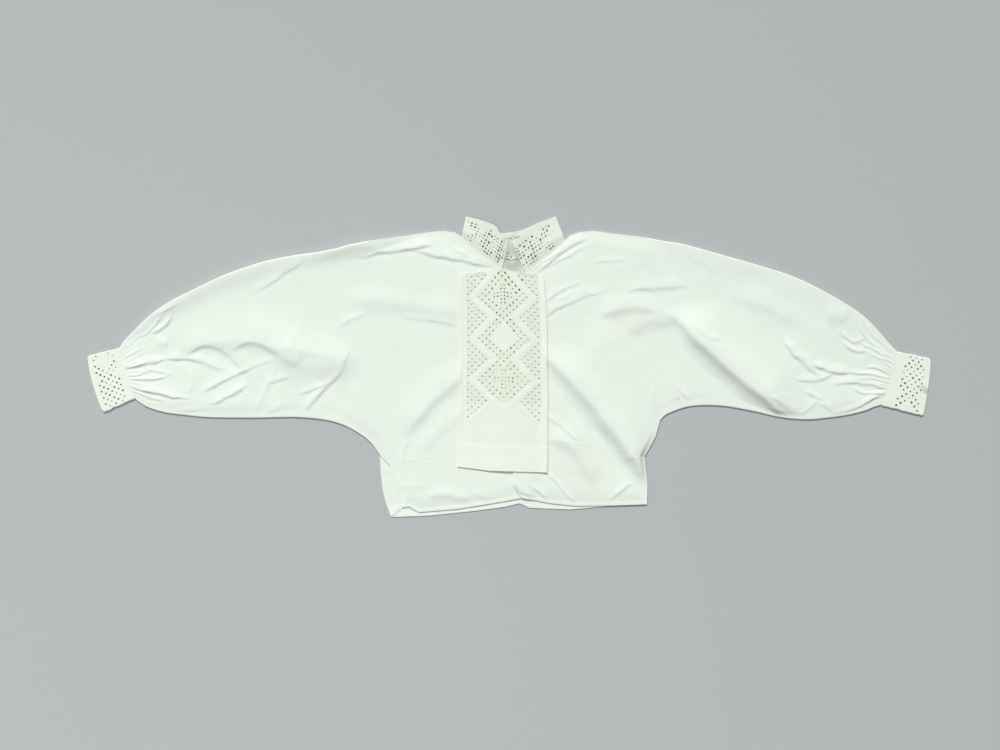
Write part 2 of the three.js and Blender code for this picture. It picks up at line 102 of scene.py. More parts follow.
SHOULDER_LEFT = [(-247, 220), (-191, 228), (-138, 236), (-112, 238), (-94, 235), (-82, 228)]
SHOULDER_RIGHT = [(98, 222), (108, 231), (124, 236), (150, 238), (177, 234), (243, 226)]
NECK_LEFT = [(-82, 228), (-51, 201), (-12, 173)]
NECK_RIGHT = [(28, 166), (63, 191), (98, 222)]
NECK_BACK = [(-82, 228), (-38, 198), (4, 186), (49, 194), (98, 222)]
CENTRE_LEFT = [(-12, 173), (9, 135), (LAP_EDGE, 65), (LAP_EDGE, -136)]
CENTRE_RIGHT = [(28, 166), (18, 126), (10, 65), (10, -138)]
WAIST_LEFT = [(-208, -172), (-159, -166), (-100, -153), (LAP_EDGE, -136)]
WAIST_RIGHT = [(10, -138), (70, -130), (166, -145), (237, -157)]
WAIST_BACK = [(-226, -158), (0, -150), (237, -157)]
UNDERARM_LEFT = [(-226, -154), (-208, -172)]
UNDERARM_RIGHT = [(264, -94), (256, -122), (237, -157)]
HEM_LEFT = [
    (-187, -246), (-175, -244), (-158, -254), (-89, -248), (-33, -239), (LAP_EDGE, -229),
]
HEM_RIGHT = [(22, -229), (46, -233), (71, -238), (117, -243), (177, -242), (241, -240)]
HEM_BACK = [
    (-206, -262.6), (-138, -260), (-60, -252), (-7, -245), (19, -239), (37, -247),
    (107, -250), (177, -244), (242, -241),
]
SIDE_BAND_LEFT = [(-208, -172), (-206, -184), (-196, -219), (-187, -246)]
SIDE_BAND_RIGHT = [(237, -157), (242, -206), (241, -240)]
SIDE_BACK_LEFT = [(-226, -158), (-224, -190), (-221, -214), (-216, -236), (-206, -262.6)]
OPENING_LEFT = [(LAP_EDGE, -136), (LAP_EDGE, -180), (LAP_EDGE, -229)]
OPENING_RIGHT = [(10, -138), (7, -160), (7, -186), (9, -202), (14, -217), (22, -229)]
PANEL = {
    "top": [(-87, 163), (-60, 164), (-24, 170), (-12, 173), (2, 169), (30, 164), (60, 160)],
    "bottom": [(-90, -174), (-34, -181), (67, -184)],
    "left": [(-87, 163), (-86, 30), (-88, -93), (-90, -174)],
    "right": [(60, 160), (66, 86), (68, -58), (67, -184)],
}

# Folds and creases on bent lines: start, middle, end, then how far the fold swells on the left of
# its line, how far it drops on the right, and its height. Read off the cloth one by one.
FOLDS = [
    # left sleeve
    (-688, 0, -635, 7, -597, 18, 8, 3.4, 2.2), (-611, 14, -544, 10, -488, -12, 12, 2.4, 1.9),
    (-544, 2, -518, -4, -492, -16, 5, 2.2, 0.6), (-574, 17, -513, 37, -456, -20, 26, 4.2, 1.9),
    (-537, -49, -488, -19, -439, 2, 9, 3, 1.6), (-453, -4, -432, 4, -410, 10, 6, 2.2, 0.6),
    (-527, -63, -492, -54, -458, -28, 8, 3.2, 1.5), (-482, 30, -439, 46, -392, 17, 34, 6, 2.5),
    (-404, 24, -386, 14, -366, 0, 20, 10, 1.6), (-425, -33, -404, -24, -380, -19, 8, 2.4, 1),
    (-429, -88, -413, -77, -396, -66, 8, 4, 1), (-359, -89, -334, -52, -298, -14, 10, 3.6, 1.7),
    (-320, -37, -296, -9, -278, 30, 10, 3, 1), (-368, -51, -340, -38, -312, -26, 8, 3, 1.2),
    (-300, 70, -276, 83, -250, 96, 9, 4.4, 0.65), (-453, 126, -401, 158, -355, 190, 12, 2.8, 0.8),
    (-677, -12, -642, -12, -618, 0, 4, 2.4, 0.9), (-677, -19, -628, -21, -586, -10, 4, 2.6, 1.1),
    (-637, -4, -607, -7, -579, -21, 4, 2.4, 0.7), (-674, -26, -618, -46, -553, -58, 9, 2.8, 2),
    (-674, -32, -632, -52, -597, -66, 4, 2.2, 0.8), (-649, 54, -625, 68, -607, 94, 4, 2.4, 0.9),
    (-628, 61, -600, 74, -590, 96, 6, 3.4, 1.5), (-618, 91, -600, 103, -579, 114, 4, 2.4, 0.8),
    (-618, 47, -606, 45, -594, 43, 8, 9, 1.5), (-565, 2, -556, -23, -560, -51, 6, 4, 0.8),
    (-481, 44, -474, 19, -466, -2, 6, 4, 0.6), (-443, -79, -422, -37, -406, 5, 8, 3.5, 0.7),
    (-597, -80, -558, -77, -520, -72, 5, 3, 0.6), (-681, 30, -658, 47, -635, 65, 3, 2, 0.5),
    (-674, 18, -660, 26, -642, 32, 3, 2, 0.5), (-674, 10, -653, 19, -628, 26, 3, 2, 0.4),
    (-667, -37, -639, -58, -611, -70, 3, 2, 0.5), (-663, -44, -639, -65, -614, -74, 3, 2, 0.4),
    (-420, 40, -342, 12, -268, 26, 38, 34, 5), (-600, 30, -470, 46, -300, 20, 52, 16, 2.2),
    # left half of the body
    (-278, 191, -205, 203, -121, 215, 17, 3.4, 2), (-173, 206, -103, 191, -16, 173, 17, 3.6, 1.9),
    (-108, 226, -93, 206, -61, 191, 5, 2.4, 0.6), (-290, 121, -182, 114, -60, 86, 22, 18, 2.1),
    (-191, 86, -138, 80, -79, 72, 8, 3, 0.7), (-184, -128, -145, -70, -64, 4, 30, 11, 2.6),
    (-184, -180, -184, -149, -177, -121, 6, 4, 0.6), (-159, -149, -121, -110, -68, -66, 14, 10, 0.8),
    (-148, -226, -112, -223, -62, -230, 10, 8, 1.2), (-68, -215, -42, -228, -16, -224, 8, 5, 0.5),
    (-212, -180, -198, -205, -200, -236, 6, 4, 0.7), (-194, -200, -172, -210, -145, -203, 7, 4, 0.35),
    # right half of the body
    (44, 160, 90, 197, 142, 228, 26, 3.2, 1.75), (36, 168, 62, 184, 96, 208, 5, 2.2, 0.7),
    (63, 166, 100, 194, 142, 212, 6, 3, 0.8), (54, 107, 93, 135, 131, 150, 8, 3, 0.7),
    (54, 82, 100, 110, 166, 133, 14, 3, 1.2), (138, 180, 170, 186, 208, 187, 6, 2.4, 0.5),
    (201, 131, 238, 138, 317, 143, 14, 5, 1.4), (156, 82, 205, 106, 268, 94, 20, 10, 2.1),
    (206, 56, 246, 84, 292, 72, 24, 16, 2.3), (46, 42, 138, -52, 260, -214, 40, 20, 5.8),
    (44, 38, 138, -56, 262, -216, 24, 9, 2.1), (140, -76, 200, -142, 256, -222, 24, 10, 2.2),
    (152, -152, 98, -72, 68, -20, 30, 13, 1.7), (61, -84, 93, -105, 124, -135, 10, 3.4, 1.1),
    (61, -133, 112, -135, 152, -208, 18, 12, 2.6), (8, -190, 17, -213, 52, -229, 10, 2.4, 1.3),
    (63, -180, 89, -210, 121, -243, 5, 2.4, 0.9), (173, -236, 194, -217, 217, -200, 6, 2.6, 0.9),
    (37, -203, 54, -219, 75, -236, 5, 2.4, 0.9), (238, -9, 242, -51, 256, -100, 8, 4, 0.7),
    (142, 56, 138, 30, 152, -9, 12, 12, 0.5), (198, -166, 219, -158, 243, -163, 5, 4, 0.4),
    (212, -180, 229, -184, 243, -177, 5, 4, 0.3), (82, 117, 100, 122, 114, 135, 5, 2.4, 0.5),
    (233, -128, 187, -23, 145, 89, 34, 30, 3.4),
    # right sleeve
    (278, 102, 352, 33, 496, -98, 52, 22, 8.2), (268, 98, 344, 34, 500, -106, 30, 8.5, 3.7),
    (474, 56, 502, 19, 544, -19, 14, 2.8, 1.9), (495, -16, 530, -24, 576, -7, 8, 2.8, 1.1),
    (530, 4, 565, -7, 597, -12, 10, 3, 2.3), (586, -10, 625, -14, 670, -21, 5, 2.4, 1.2),
    (620, -3, 645, -3, 672, -8, 4, 2.2, 0.8), (600, -21, 636, -22, 672, -28, 4, 2.2, 0.9),
    (565, -33, 607, -28, 667, -37, 8, 3.2, 1.8), (593, -33, 621, -46, 670, -42, 4, 2.4, 0.7),
    (513, -42, 534, -51, 555, -61, 7, 3, 1.1), (536, -61, 553, -70, 570, -79, 6, 3, 0.9),
    (548, -79, 593, -79, 667, -37, 7, 2.8, 1.5), (502, -86, 530, -68, 544, -49, 5, 3, 0.7),
    (550, 90, 570, 90, 588, 80, 18, 17, 1.5), (576, 68, 597, 46, 625, 52, 5, 2.6, 1.1),
    (579, 47, 600, 30, 628, 28, 5, 2.6, 1.2), (606, 79, 621, 58, 649, 30, 4, 2.6, 0.9),
    (611, 42, 639, 30, 670, 16, 4, 2.2, 0.9), (618, 30, 642, 18, 674, 9, 4, 2.2, 0.7),
    (618, 82, 642, 54, 674, 23, 4, 2.4, 0.7), (380, 128, 448, 107, 518, 70, 24, 13, 1.35),
    (289, -26, 303, -47, 320, -65, 6, 3, 1), (317, 196, 343, 178, 355, 161, 8, 5, 0.5),
    (448, -51, 478, -65, 509, -93, 8, 4, 1.1), (471, -44, 492, -65, 509, -89, 6, 3, 0.7),
    (317, 82, 343, 56, 373, 44, 8, 3, 0.6), (256, -32, 250, -54, 264, -79, 6, 4, 0.6),
]

# Edges of the collar from its left front end round the back to its right front end.
COLLAR_SEAMS = {
    "left": [(-12, 173), (-51, 201), (-80.5, 227)],
    "back": [(-80.5, 227), (-38, 199), (4, 187), (49, 195), (96.5, 221)],
    "right": [(96.5, 221), (63, 191), (28, 166)],
}
COLLAR_FREE = {
    "left": [
        (-1, 218), (-6, 226), (-11, 231.5), (-17, 235.5), (-23, 246), (-34, 251.5), (-47, 256),
        (-60, 259.5), (-73, 262.5),
    ],
    "back": [(-73, 262.5), (-46, 247), (-18, 235), (4, 236), (26, 241), (51, 252), (80, 262.5)],
    "right": [(80, 262.5), (61, 255), (44, 245), (25, 233), (6, 216)],
}

# The rolled upper edge of the sleeves and shoulders: place along X, height and reach inwards.
RIM_ROLL = np.array([
    (-690, 0, 8), (-650, 0.8, 10), (-600, 4.6, 17), (-550, 5.8, 20), (-430, 3.8, 22),
    (-370, 3.8, 19), (-310, 5.4, 15), (-255, 4.6, 14), (-200, 1.2, 10), (-150, 0, 10),
    (240, 0, 20), (300, 1.6, 26), (600, 1.6, 26), (680, 0, 16),
], float)

# Gathers drawn into each cuff: place across the seam (0 at the top), reach up the sleeve, height.
GATHERS_LEFT = [
    (0.06, 24, 0.5), (0.12, 42, 0.7), (0.185, 30, 0.6), (0.25, 46, 0.9), (0.315, 28, 0.8),
    (0.375, 36, 0.9), (0.44, 30, 0.9), (0.50, 44, 1.0), (0.565, 34, 0.9), (0.63, 52, 1.0),
    (0.70, 38, 0.9), (0.77, 46, 0.9), (0.845, 34, 0.7), (0.92, 22, 0.5),
]
GATHERS_RIGHT = [
    (0.05, 44, 0.8), (0.11, 30, 0.8), (0.17, 50, 0.9), (0.235, 36, 1.0), (0.30, 44, 0.9),
    (0.37, 30, 1.0), (0.44, 40, 0.9), (0.505, 34, 1.0), (0.57, 46, 0.9), (0.64, 30, 0.9),
    (0.71, 42, 0.8), (0.78, 28, 0.8), (0.86, 36, 0.7), (0.94, 22, 0.5),
]

# ---- curves and patches ----
def smooth(t):
    """Rises from 0 to 1 without corners while t does."""
    c = np.clip(t, 0, 1)
    return c * c * (3 - 2 * c)


def bell(t):
    """Falls from 1 at 0 to nothing on both sides."""
    return np.exp(-(t**2))


def even(count):
    return np.linspace(0, 1, count + 1)


def along(line, shares):
    """Points at shares of a polyline's length."""
    line = np.asarray(line, float)
    walked = np.concatenate([[0], np.cumsum(np.hypot(*np.diff(line, axis=0).T))])
    at = np.asarray(shares) * walked[-1]
    return np.stack([np.interp(at, walked, line[:, k]) for k in range(line.shape[1])], axis=-1)


def catmull(rows, t):
    """Rows on a smooth curve, at t from 0 to 1 over the whole table."""
    rows = np.vstack([2 * rows[0] - rows[1], rows, 2 * rows[-1] - rows[-2]])
    place = np.clip(np.asarray(t), 0, 1) * (len(rows) - 3)
    i = np.minimum(place.astype(int), len(rows) - 4)
    f = (place - i)[:, None]
    a, b, c, d = rows[i], rows[i + 1], rows[i + 2], rows[i + 3]
    return 0.5 * (2 * b + (c - a) * f + (2 * a - 5 * b + 4 * c - d) * f**2
                  + (3 * b - a - 3 * c + d) * f**3)


def patch(edges, us, vs):
    """Grid of points between four edges, as arrays [row, column]."""
    top, bottom = along(edges["top"], us), along(edges["bottom"], us)
    left, right = along(edges["left"], vs), along(edges["right"], vs)
    u, v = us[None, :, None], vs[:, None, None]
    across = left[:, None] * (1 - u) + right[:, None] * u
    down = top[None] * (1 - v) + bottom[None] * v
    corners = (top[0] * (1 - u) + top[-1] * u) * (1 - v) + (bottom[0] * (1 - u) + bottom[-1] * u) * v
    points = across + down - corners
    return points[..., 0], points[..., 1]


def bow_bend(bow, v):
    """Sideways bend of an armhole seam at shares v down it."""
    return bow * BOW_PEAK * v * v * (1 - v)


def section_line(section, v, bend=0.0):
    """Places at shares v from one end of a section to the other, as x and y."""
    x = section[0] + (section[2] - section[0]) * v + bend
    y = section[1] + (section[3] - section[1]) * v
    return x, y


def armhole(section, bow):
    """An armhole seam's points, from the shoulder down."""
    v = even(ARMHOLE_STEPS)
    return list(zip(*section_line(section, v, bow_bend(bow, v))))


ARMHOLE_LEFT = armhole(SLEEVE_LEFT[0], BOW_LEFT)
ARMHOLE_RIGHT = armhole(SLEEVE_RIGHT[0], BOW_RIGHT)


# ---- relief of the upper layers ----
def leg(x, y, a, b):
    """Distance to a leg, signed offset from its line, and how far along it the nearest point is."""
    dx, dy = b[0] - a[0], b[1] - a[1]
    length = math.hypot(dx, dy) or 1.0
    reach = np.clip(((x - a[0]) * dx + (y - a[1]) * dy) / length, 0, length)
    side = (dx * (y - a[1]) - dy * (x - a[0])) / length
    distance = np.hypot(x - a[0] - dx / length * reach, y - a[1] - dy / length * reach)
    return distance, side, reach


def line_distance(x, y, lines):
    """Distance from each point to the nearest of some polylines."""
    nearest = np.full(x.shape, np.inf)
    for line in lines:
        for a, b in zip(line[:-1], line[1:]):
            nearest = np.minimum(nearest, leg(x, y, a, b)[0])
    return nearest


UPPER_EDGE = [
    [*SLEEVE_LEFT[::-1, :2], *SHOULDER_LEFT],
    [*SHOULDER_RIGHT, *SLEEVE_RIGHT[:, :2]],
]
NECK_EDGE = [[*NECK_LEFT, *NECK_RIGHT]]
GARMENT_EDGE = [
    *UPPER_EDGE,
    [*SLEEVE_LEFT[::-1, 2:], *SIDE_BAND_LEFT, *HEM_LEFT[:-1], *HEM_RIGHT,
     *SIDE_BAND_RIGHT[::-1], *UNDERARM_RIGHT[::-1], *SLEEVE_RIGHT[:, 2:]],
]
FOLD_STEPS = 8
FOLD_OVER = 0.03  # share by which a fold runs past its ends
PANEL_BOX = (-88, 66, -178, 166)  # left, right, lower and upper edge of what the panel covers
UNDER_PANEL = 0.9  # share that a fold loses under the panel
FOLD_REACH = 2.6  # how many times its width a fold is worked out for
# Ripples by seed, size and height: of a crease's path along X and along Y, then of heights.
NARROW_SWAY = ((21, 24, 2.4), (22, 9, 0.9))
NARROW_DRIFT = ((23, 24, 2.4), (24, 9, 0.9))
BROAD_SWAY = ((26, 48, 3.2),)
BROAD_DRIFT = ((27, 48, 3.2),)
CREASE_RIPPLE = (25, 15, 1)
SWELLING = ((5, 46, 0.5), (6, 15, 0.14), (7, 7, 0.04))
RIM_RIPPLE = (28, 60, 0.3)
RIPPLE_CELLS = 63
RIPPLE_FROM = (-900, -400)  # where the ripples' lattice starts


def fold_line(fold):
    """A fold's bent line as short legs through its start, middle and end."""
    start, middle, end = (np.array(fold[k:k + 2], float) for k in (0, 2, 4))
    handle = 2 * middle - (start + end) / 2
    t = even(FOLD_STEPS)[:, None]
    return start * (1 - t) ** 2 + 2 * handle * t * (1 - t) + end * t**2


def fold_height(fold, x, y):
    """Height of one fold: it swells gently up to its line and drops away beyond it."""
    line = fold_line(fold)
    swell, drop, height = fold[6:9]
    near = np.full(x.shape, np.inf)
    offset = np.zeros(x.shape)
    share = np.zeros(x.shape)
    steps = np.hypot(*np.diff(line, axis=0).T)
    walked = 0.0
    for a, b, step in zip(line[:-1], line[1:], steps):
        distance, side, reach = leg(x, y, a, b)
        closer = distance < near
        near = np.where(closer, distance, near)
        offset = np.where(closer, side, offset)
        share = np.where(closer, (walked + reach) / steps.sum(), share)
        walked += step
    taper = smooth((share + FOLD_OVER) / FOLD_ENDS) * smooth((1 + FOLD_OVER - share) / FOLD_ENDS)
    widen = 0.5 + 0.5 * taper
    gentle = bell(near / (swell * widen))
    steep = bell(near / (drop * widen))
    hollow = bell(near / (drop * widen * HOLLOW_WIDTH))
    shape = np.where(offset > 0, gentle, (1 + HOLLOW) * steep - HOLLOW * hollow)
    return height * taper * shape


def all_folds(x, y):
    """Height of all the folds together. Those that run under the front panel fade there.

    The narrow creases wander and are uneven along their length; the broad folds sway gently.
    """
    height = np.zeros(x.shape)
    left, right, low, high = PANEL_BOX
    inside = np.minimum.reduce([x - left, right - x, high - y, y - low])
    free = 1 - UNDER_PANEL * smooth((inside - 1) / 7)
    broad = x + ripples(x, y, BROAD_SWAY), y + ripples(x, y, BROAD_DRIFT), np.zeros(x.shape)
    narrow = (
        x + ripples(x, y, NARROW_SWAY),
        y + ripples(x, y, NARROW_DRIFT),
        CREASE_WAVE * ripples(x, y, [CREASE_RIPPLE]),
    )
    for fold in FOLDS:
        px, py, wave = narrow if fold[6] < BROAD else broad
        reach = FOLD_REACH * max(fold[6], fold[7] * HOLLOW_WIDTH)
        xs, ys = fold[0:6:2], fold[1:6:2]
        near = (px > min(xs) - reach) & (px < max(xs) + reach)
        near &= (py > min(ys) - reach) & (py < max(ys) + reach)
        height[near] += fold_height(fold, px[near], py[near]) * free[near] * (1 + wave[near])
    return height


def rim_roll(x, y, edge):
    """How far the folded upper edge of the sleeves and shoulders stands up."""
    height = np.interp(x, RIM_ROLL[:, 0], RIM_ROLL[:, 1])
    reach = np.interp(x, RIM_ROLL[:, 0], RIM_ROLL[:, 2])
    uneven = 1 + ripples(x, y, [RIM_RIPPLE])
    rolled = height * uneven * bell(line_distance(x, y, UPPER_EDGE) / reach)
    return rolled + LOFT * smooth(rolled) * (1 - smooth(edge / LOFT_RISE))


def ripple(x, y, seed, size, height):
    """Smooth uneven swelling of the cloth, from a seeded lattice of heights."""
    lattice = np.random.default_rng(seed).uniform(-1, 1, (RIPPLE_CELLS + 1, RIPPLE_CELLS + 1))
    px, py = (x / size) % RIPPLE_CELLS, (y / size) % RIPPLE_CELLS
    i, j = px.astype(int), py.astype(int)
    fx, fy = smooth(px - i), smooth(py - j)
    low = lattice[j, i] * (1 - fx) + lattice[j, i + 1] * fx
    high = lattice[j + 1, i] * (1 - fx) + lattice[j + 1, i + 1] * fx
    return height * (low * (1 - fy) + high * fy)


def ripples(x, y, rows):
    """Sum of some ripples at a place of the shirt, each given by its seed, size and height."""
    return sum(ripple(x - RIPPLE_FROM[0], y - RIPPLE_FROM[1], *row) for row in rows)


def relief(x, y):
    """How far an upper layer stands above its flat rest."""
    edge = line_distance(x, y, GARMENT_EDGE)
    neck = line_distance(x, y, NECK_EDGE)
    rise = smooth(edge / LOFT_RISE) * smooth((neck + NECK_LOFT) / NECK_RISE)
    fold_rise = smooth(np.minimum(edge / FOLD_RISE, (neck + NECK_FOLD) / NECK_FOLD_RISE))
    height = (LOFT + ripples(x, y, SWELLING)) * rise + all_folds(x, y) * fold_rise
    return np.maximum(height + rim_roll(x, y, edge), 0.0)


def lap_lift(x):
    return LAP_LIFT * smooth((LAP_EDGE + 4 + LAP_SLOPE - x) / LAP_SLOPE)


def panel_lift(x):
    return lap_lift(x) * smooth((x + 60) / 60)


# ---- meshes ----
SHARP = math.radians(50)  # edges sharper than this stay sharp


def put(name, data):
    """Makes an object of some data, in the scene."""
    made = bpy.data.objects.new(name, data)
    bpy.context.scene.collection.objects.link(made)
    return made


def shell(name, outer, inner, keep=None, wrap=False, net=None):
    """A closed cloth shell between two grids of points [row, column, xyz] in millimetres.

    keep says which cells are cloth: a wall closes every edge between cloth and a gap. With wrap,
    the last column joins the first. net is the share of loose threads at each point, kept as an
    attribute that sets where the material paints the net's shade.
    """
    rows, columns = outer.shape[:2]
    cells_x = columns if wrap else columns - 1
    keep = np.ones((rows - 1, cells_x), bool) if keep is None else keep
    index = np.arange(rows * columns).reshape(rows, columns)
    left = index[:, :cells_x]
    right = np.roll(index, -1, axis=1)[:, :cells_x]
    tl, tr, bl, br = left[:-1], right[:-1], left[1:], right[1:]
    under = rows * columns
    quads = [
        np.stack([tl, bl, br, tr], -1)[keep],
        np.stack([tl, tr, br, bl], -1)[keep] + under,
    ]
    padded = np.pad(keep, 1)
    if wrap:
        padded[1:-1, 0], padded[1:-1, -1] = keep[:, -1], keep[:, 0]
    walls = (
        (padded[:-2, 1:-1], tl, tr), (padded[2:, 1:-1], br, bl),
        (padded[1:-1, :-2], bl, tl), (padded[1:-1, 2:], tr, br),
    )
    for neighbour, a, b in walls:
        edge = keep & ~neighbour
        quads.append(np.stack([a[edge], b[edge], b[edge] + under, a[edge] + under], -1))
    quads = np.concatenate(quads)
    points = np.concatenate([outer.reshape(-1, 3), inner.reshape(-1, 3)]) * MM
    used, quads = np.unique(quads, return_inverse=True)
    points, quads = points[used], quads.reshape(-1, 4)
    a, b, c, d = np.moveaxis(points[quads], 1, 0)
    if (a * (np.cross(b, c) + np.cross(c, d))).sum() < 0:  # inside out
        quads = quads[:, ::-1]
    mesh = bpy.data.meshes.new(name + "_cloth")
    mesh.from_pydata(points.tolist(), [], quads.tolist())
    mesh.polygons.foreach_set("use_smooth", np.ones(len(quads), bool))
    mesh.set_sharp_from_angle(angle=SHARP)
    if net is not None:
        values = np.tile(net.ravel(), 2)[used]
        mesh.attributes.new("net", "FLOAT", "POINT").data.foreach_set("value", values)
    mesh.update()
    return put(mesh.name, mesh)


def grid3(x, y, z):
    """Points from three arrays or numbers."""
    return np.stack(np.broadcast_arrays(x, y, z), axis=-1)


# ---- body ----
HEM_WIDTH = 7
HEM_GROOVE = 0.30
SEAM_DEPTH = 0.1
SEAM_WIDTH = 1.4
TURNING_WIDTH = 7
TURNING_HEIGHT = 0.08


def hem_band(x, y, lines, height):
    """A turned hem: the cloth is doubled beside an edge, with a sewn groove at its inner side."""
    distance = line_distance(x, y, lines)
    groove = bell((distance - HEM_WIDTH + 1.2) / 0.9)
    return height * smooth((HEM_WIDTH - distance) / 1.6) - HEM_GROOVE * groove


def seam_dip(x, y, lines):
    """The groove of a seam."""
    return -SEAM_DEPTH * bell(line_distance(x, y, lines) / SEAM_WIDTH)


def seam_turning(x, y, lines):
    """The ridge of the turned-in cloth that lies under one side of a seam."""
    distance = line_distance(x, y, lines)
    return TURNING_HEIGHT * smooth(distance / 1.5) * smooth((TURNING_WIDTH - distance) / 2.5)


def inset(x, y):
    """Draws a patch's rim in by half a seam gap."""
    middle = x.shape[0] // 2, x.shape[1] // 2
    for rim in (np.s_[0], np.s_[-1], np.s_[:, 0], np.s_[:, -1]):
        for grid in (x, y):
            grid[rim] += np.sign(grid[middle] - grid[rim]) * SEAM
    return x, y


CORNER_FOLD = (-209, -264, -197, -253, -186, -244, 8, 2.2, 1.3)  # at the lower back's corner
BACK_TOP = 0.9
BAND_RISE = 0.15  # of the lower back, with its crumples' seed, size and height
BAND_RIPPLE = (41, 10, 0.2)


def flat(columns, rows, top, bottom, left, right, hems=(), seams=(), laps=False):
    """How a flat piece is made: its grid, its four edges and what is sewn on it."""
    edges = {"top": top, "bottom": bottom, "left": left, "right": right}
    return {"grid": (columns, rows), "edges": edges, "hems": hems, "seams": seams, "laps": laps}


FLAT_PIECES = {
    "back": flat(
        90, 110, [*SHOULDER_LEFT, *NECK_BACK[1:-1], *SHOULDER_RIGHT], WAIST_BACK,
        [SHOULDER_LEFT[0], UNDERARM_LEFT[0], WAIST_BACK[0]], [SHOULDER_RIGHT[-1], *UNDERARM_RIGHT],
    ),
    "back_band": flat(
        210, 44, WAIST_BACK, HEM_BACK, SIDE_BACK_LEFT, SIDE_BAND_RIGHT, hems=[HEM_BACK],
    ),
    "front_left": flat(
        170, 232, [*SHOULDER_LEFT, *NECK_LEFT[1:]], WAIST_LEFT,
        [*ARMHOLE_LEFT, *UNDERARM_LEFT[1:]], CENTRE_LEFT,
        hems=[CENTRE_LEFT], seams=[ARMHOLE_LEFT, WAIST_LEFT],
    ),
    "front_right": flat(
        170, 232, [*NECK_RIGHT, *SHOULDER_RIGHT[1:]], WAIST_RIGHT,
        CENTRE_RIGHT, [*ARMHOLE_RIGHT, *UNDERARM_RIGHT[1:]],
        hems=[CENTRE_RIGHT], seams=[ARMHOLE_RIGHT, WAIST_RIGHT], laps=True,
    ),
    "front_band_left": flat(
        150, 56, WAIST_LEFT, HEM_LEFT, SIDE_BAND_LEFT, OPENING_LEFT,
        hems=[HEM_LEFT, OPENING_LEFT], seams=[WAIST_LEFT],
    ),
    "front_band_right": flat(
        150, 60, WAIST_RIGHT, HEM_RIGHT, OPENING_RIGHT, SIDE_BAND_RIGHT,
        hems=[HEM_RIGHT, OPENING_RIGHT], seams=[WAIST_RIGHT], laps=True,
    ),
}


def make_back_piece(name, x, y, hems):
    """The back and the lower back, which lie flat on the floor."""
    top = np.full(x.shape, BACK_TOP)
    low = 0.0
    if hems:
        top = top + hem_band(x, y, hems, 0.25) + BAND_RISE + ripples(x, y, [BAND_RIPPLE])
        top = top + fold_height(CORNER_FOLD, x, y)
    else:
        low = back_rise(x, y)
    return shell(name, grid3(x, y, top + low), grid3(x, y, low))


def make_flat_piece(name, spec):
    columns, rows = spec["grid"]
    x, y = inset(*patch(spec["edges"], even(columns), even(rows)))
    if name.startswith("back"):
        return make_back_piece(name, x, y, spec["hems"])
    top = FRONT_REST + WALL + relief(x, y)
    if spec["laps"]:
        top = top + lap_lift(x)
    top = top + hem_band(x, y, spec["hems"], 0.3)
    top = top + seam_dip(x, y, spec["seams"]) + seam_turning(x, y, spec["seams"])
    under = top - CLOTH
    if "band" not in name:
        shoulder = (x[0] < SHOULDER_LEFT[-1][0]) | (x[0] > SHOULDER_RIGHT[0][0])
        under[0, shoulder] = SHOULDER_LOW
    return shell(name, grid3(x, y, top), grid3(x, y, under))


# ---- sleeves ----
SLEEVE_STATIONS = 240
SLEEVE_UPPER = 154  # steps across the upper layer, and across the lower one
SLEEVE_LOWER = 12
SLEEVE_NOSE = 1.6  # how far a sleeve's folded edges are rounded
BOW_FADE = 34  # from the armhole to where its bend is gone
CUFF_PRESS = 22  # from the cuff to where the sleeve stands up in full
SLEEVES = {
    "sleeve_left": (SLEEVE_LEFT, BOW_LEFT, GATHERS_LEFT),
    "sleeve_right": (SLEEVE_RIGHT, BOW_RIGHT, GATHERS_RIGHT),
}
NOSE_STEPS = 4
NOSE_ANGLES = np.linspace(0, math.pi, NOSE_STEPS + 2)[1:-1]


def sleeve_ring(section, bow, top):
    """Outer and inner loop of a sleeve: its upper layer, then back along its lower one."""
    def point(v, z, bend=0.0):
        return grid3(*section_line(section, v, bend), z)

    length = math.hypot(section[0] - section[2], section[1] - section[3])
    tip = SLEEVE_NOSE / length
    curve, turn = tip * np.sin(NOSE_ANGLES), np.cos(NOSE_ANGLES)
    loops = []
    for lift in (0.0, CLOTH):
        spread = tip + lift / length
        face = spread + (1 - 2 * spread) * even(SLEEVE_UPPER)
        back = spread + (1 - 2 * spread) * even(SLEEVE_LOWER)[::-1]
        far, near = (top[-1] - 2 * lift) / 2, (top[0] - 2 * lift) / 2
        loops.append(np.concatenate([
            point(face, top - lift, bow_bend(bow, face)),
            point(1 - spread + curve, lift + far + far * turn),
            point(back, lift),
            point(spread - curve, lift + near - near * turn),
        ]))
    return loops


def gather_height(v, left, gathers):
    """Height of the gathers at shares v across the sleeve, left millimetres up from the cuff."""
    height = np.zeros(v.shape)
    swell = 0.45 + 0.55 * smooth(left / 18)
    for k, (place, reach, size) in enumerate(gathers):
        fade = 1 - smooth(left / reach)
        sway = 0.012 * math.sin(1.7 * k + left / 13)
        offset = v - place - sway
        narrow = np.where(offset < 0, 0.020, 0.010)
        height += size * swell * fade * bell(offset / narrow)
    return height


